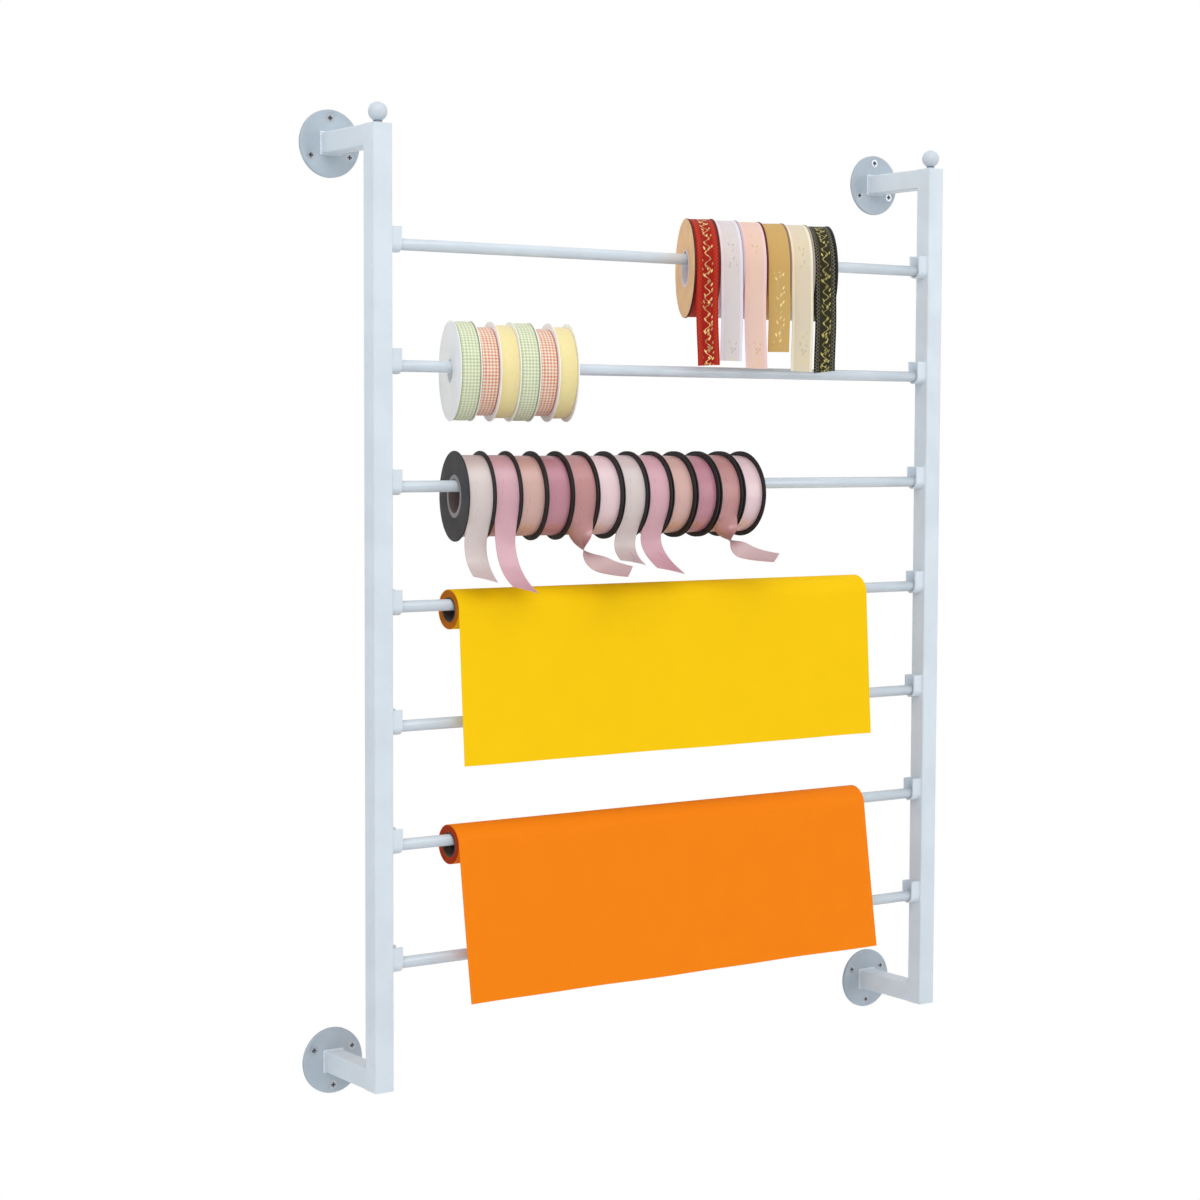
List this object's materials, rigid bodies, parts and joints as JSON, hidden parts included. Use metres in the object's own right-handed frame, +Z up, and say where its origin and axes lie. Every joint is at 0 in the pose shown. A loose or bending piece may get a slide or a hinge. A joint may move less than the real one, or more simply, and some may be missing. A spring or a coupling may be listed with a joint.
{
  "type": "wall-mounted ribbon spool dispenser",
  "caption": "Wall rack of square tube whose removable rods, lying in open saddles, hold spools of ribbon and rolls of wrapping sheet that turn freely.",
  "frame": {"origin": "middle of the pattern of the four outermost wall screws, on the face of the wall", "axes": "+X to the right as seen from the front, +Y into the wall, +Z up"},
  "size_m": [0.739, 0.1988, 0.944],
  "materials": {
    "powder_coat": "satin powder coat",
    "screw_steel": "zinc plated",
    "kraft_board": "uncoated board",
    "foil_red": "ribbon with foil print",
    "foil_lilac": "ribbon with foil print",
    "foil_pink": "ribbon with foil print",
    "foil_gold": "ribbon with foil print",
    "foil_cream": "ribbon with foil print",
    "foil_black": "ribbon with foil print",
    "white_plastic": "moulded",
    "black_plastic": "moulded",
    "satin": "satin ribbon",
    "yellow_film": "wrapping sheet",
    "orange_film": "wrapping sheet"
  },
  "bodies": {
    "frame": {"upright_left": "powder_coat", "upright_right": "powder_coat", "arm_top_left": "powder_coat", "arm_top_right": "powder_coat", "arm_bottom_left": "powder_coat", "arm_bottom_right": "powder_coat", "wall_flange_top_left": "powder_coat", "wall_flange_top_right": "powder_coat", "wall_flange_bottom_left": "powder_coat", "wall_flange_bottom_right": "powder_coat", "finial_left": "powder_coat", "finial_right": "powder_coat", "rod_saddles_left": "powder_coat", "rod_saddles_right": "powder_coat", "tube_end_caps": "powder_coat", "wall_screws": "screw_steel"},
    "rod_1": {"rod_1": "powder_coat", "foil_tails": "foil_red"},
    "rod_2": {"rod_2": "powder_coat"},
    "rod_3": {"rod_3": "powder_coat", "satin_tails": "satin"},
    "rod_4": {"rod_4": "powder_coat", "yellow_sheet": "yellow_film"},
    "rod_5": {"rod_5": "powder_coat"},
    "rod_6": {"rod_6": "powder_coat", "orange_sheet": "orange_film"},
    "rod_7": {"rod_7": "powder_coat"},
    "kraft_spool_1": {"kraft_reel_1": "kraft_board", "foil_ribbon_1": "foil_red"},
    "kraft_spool_2": {"kraft_reel_2": "kraft_board", "foil_ribbon_2": "foil_lilac"},
    "kraft_spool_3": {"kraft_reel_3": "kraft_board", "foil_ribbon_3": "foil_pink"},
    "kraft_spool_4": {"kraft_reel_4": "kraft_board", "foil_ribbon_4": "foil_gold"},
    "kraft_spool_5": {"kraft_reel_5": "kraft_board", "foil_ribbon_5": "foil_cream"},
    "kraft_spool_6": {"kraft_reel_6": "kraft_board", "foil_ribbon_6": "foil_black"},
    "white_spool_1": {"white_spool_1": "white_plastic"},
    "white_spool_2": {"white_spool_2": "white_plastic"},
    "white_spool_3": {"white_spool_3": "white_plastic"},
    "white_spool_4": {"white_spool_4": "white_plastic"},
    "white_spool_5": {"white_spool_5": "white_plastic"},
    "white_spool_6": {"white_spool_6": "white_plastic"},
    "black_spool_1": {"black_spool_1": "black_plastic"},
    "black_spool_2": {"black_spool_2": "black_plastic"},
    "black_spool_3": {"black_spool_3": "black_plastic"},
    "black_spool_4": {"black_spool_4": "black_plastic"},
    "black_spool_5": {"black_spool_5": "black_plastic"},
    "black_spool_6": {"black_spool_6": "black_plastic"},
    "black_spool_7": {"black_spool_7": "black_plastic"},
    "black_spool_8": {"black_spool_8": "black_plastic"},
    "black_spool_9": {"black_spool_9": "black_plastic"},
    "black_spool_10": {"black_spool_10": "black_plastic"},
    "black_spool_11": {"black_spool_11": "black_plastic"},
    "black_spool_12": {"black_spool_12": "black_plastic"},
    "yellow_roll": {"yellow_roll": "yellow_film"},
    "orange_roll": {"orange_roll": "orange_film"}
  },
  "joints": [
    {"name": "rod_1_lift", "type": "slide", "parent": "frame", "child": "rod_1", "axis": [0, 0, 1], "range_m": [0, 0.022]},
    {"name": "rod_2_lift", "type": "slide", "parent": "frame", "child": "rod_2", "axis": [0, 0, 1], "range_m": [0, 0.022]},
    {"name": "rod_3_lift", "type": "slide", "parent": "frame", "child": "rod_3", "axis": [0, 0, 1], "range_m": [0, 0.022]},
    {"name": "rod_4_lift", "type": "slide", "parent": "frame", "child": "rod_4", "axis": [0, 0, 1], "range_m": [0, 0.022]},
    {"name": "rod_5_lift", "type": "slide", "parent": "frame", "child": "rod_5", "axis": [0, 0, 1], "range_m": [0, 0.022]},
    {"name": "rod_6_lift", "type": "slide", "parent": "frame", "child": "rod_6", "axis": [0, 0, 1], "range_m": [0, 0.022]},
    {"name": "rod_7_lift", "type": "slide", "parent": "frame", "child": "rod_7", "axis": [0, 0, 1], "range_m": [0, 0.022]},
    {"name": "kraft_spool_1_spin", "type": "hinge", "parent": "rod_1", "child": "kraft_spool_1", "pos_m": [0.02899, -0.094, 0.33237], "axis": [0.9063, -0.4226, 0], "continuous": true},
    {"name": "kraft_spool_2_spin", "type": "hinge", "parent": "rod_1", "child": "kraft_spool_2", "pos_m": [0.05889, -0.094, 0.33237], "axis": [0.9063, -0.4226, 0], "continuous": true},
    {"name": "kraft_spool_3_spin", "type": "hinge", "parent": "rod_1", "child": "kraft_spool_3", "pos_m": [0.08879, -0.094, 0.33237], "axis": [0.9063, -0.4226, 0], "continuous": true},
    {"name": "kraft_spool_4_spin", "type": "hinge", "parent": "rod_1", "child": "kraft_spool_4", "pos_m": [0.1187, -0.094, 0.33237], "axis": [0.9063, -0.4226, 0], "continuous": true},
    {"name": "kraft_spool_5_spin", "type": "hinge", "parent": "rod_1", "child": "kraft_spool_5", "pos_m": [0.1486, -0.094, 0.33237], "axis": [0.9063, -0.4226, 0], "continuous": true},
    {"name": "kraft_spool_6_spin", "type": "hinge", "parent": "rod_1", "child": "kraft_spool_6", "pos_m": [0.1785, -0.094, 0.33237], "axis": [0.9063, -0.4226, 0], "continuous": true},
    {"name": "white_spool_1_spin", "type": "hinge", "parent": "rod_2", "child": "white_spool_1", "pos_m": [-0.2491, -0.094, 0.22534], "axis": [0.9511, -0.309, 0], "continuous": true},
    {"name": "white_spool_2_spin", "type": "hinge", "parent": "rod_2", "child": "white_spool_2", "pos_m": [-0.22734, -0.094, 0.22534], "axis": [0.9511, -0.309, 0], "continuous": true},
    {"name": "white_spool_3_spin", "type": "hinge", "parent": "rod_2", "child": "white_spool_3", "pos_m": [-0.20557, -0.094, 0.22534], "axis": [0.9511, -0.309, 0], "continuous": true},
    {"name": "white_spool_4_spin", "type": "hinge", "parent": "rod_2", "child": "white_spool_4", "pos_m": [-0.1838, -0.094, 0.22534], "axis": [0.9511, -0.309, 0], "continuous": true},
    {"name": "white_spool_5_spin", "type": "hinge", "parent": "rod_2", "child": "white_spool_5", "pos_m": [-0.16204, -0.094, 0.22534], "axis": [0.9511, -0.309, 0], "continuous": true},
    {"name": "white_spool_6_spin", "type": "hinge", "parent": "rod_2", "child": "white_spool_6", "pos_m": [-0.14027, -0.094, 0.22534], "axis": [0.9511, -0.309, 0], "continuous": true},
    {"name": "black_spool_1_spin", "type": "hinge", "parent": "rod_3", "child": "black_spool_1", "pos_m": [-0.2414, -0.094, 0.10732], "axis": [0.9781, -0.2079, 0], "continuous": true},
    {"name": "black_spool_2_spin", "type": "hinge", "parent": "rod_3", "child": "black_spool_2", "pos_m": [-0.21296, -0.094, 0.10723], "axis": [0.9819, -0.1893, 0], "continuous": true},
    {"name": "black_spool_3_spin", "type": "hinge", "parent": "rod_3", "child": "black_spool_3", "pos_m": [-0.18452, -0.094, 0.10715], "axis": [0.9854, -0.1705, 0], "continuous": true},
    {"name": "black_spool_4_spin", "type": "hinge", "parent": "rod_3", "child": "black_spool_4", "pos_m": [-0.15608, -0.094, 0.10707], "axis": [0.9884, -0.1517, 0], "continuous": true},
    {"name": "black_spool_5_spin", "type": "hinge", "parent": "rod_3", "child": "black_spool_5", "pos_m": [-0.12764, -0.094, 0.10701], "axis": [0.9911, -0.1329, 0], "continuous": true},
    {"name": "black_spool_6_spin", "type": "hinge", "parent": "rod_3", "child": "black_spool_6", "pos_m": [-0.0992, -0.094, 0.10695], "axis": [0.9935, -0.114, 0], "continuous": true},
    {"name": "black_spool_7_spin", "type": "hinge", "parent": "rod_3", "child": "black_spool_7", "pos_m": [-0.07076, -0.094, 0.1069], "axis": [0.9955, -0.0951, 0], "continuous": true},
    {"name": "black_spool_8_spin", "type": "hinge", "parent": "rod_3", "child": "black_spool_8", "pos_m": [-0.04232, -0.094, 0.10687], "axis": [0.9971, -0.0761, 0], "continuous": true},
    {"name": "black_spool_9_spin", "type": "hinge", "parent": "rod_3", "child": "black_spool_9", "pos_m": [-0.01388, -0.094, 0.10684], "axis": [0.9984, -0.0571, 0], "continuous": true},
    {"name": "black_spool_10_spin", "type": "hinge", "parent": "rod_3", "child": "black_spool_10", "pos_m": [0.01456, -0.094, 0.10682], "axis": [0.9993, -0.0381, 0], "continuous": true},
    {"name": "black_spool_11_spin", "type": "hinge", "parent": "rod_3", "child": "black_spool_11", "pos_m": [0.043, -0.094, 0.1068], "axis": [0.9998, -0.019, 0], "continuous": true},
    {"name": "black_spool_12_spin", "type": "hinge", "parent": "rod_3", "child": "black_spool_12", "pos_m": [0.07144, -0.094, 0.1068], "axis": [1, 0, 0], "continuous": true},
    {"name": "yellow_roll_spin", "type": "hinge", "parent": "rod_4", "child": "yellow_roll", "pos_m": [-0.262, -0.094, 0.0003], "axis": [1, 0, 0], "continuous": true},
    {"name": "orange_roll_spin", "type": "hinge", "parent": "rod_6", "child": "orange_roll", "pos_m": [-0.262, -0.094, -0.2237], "axis": [1, 0, 0], "continuous": true}
  ]
}
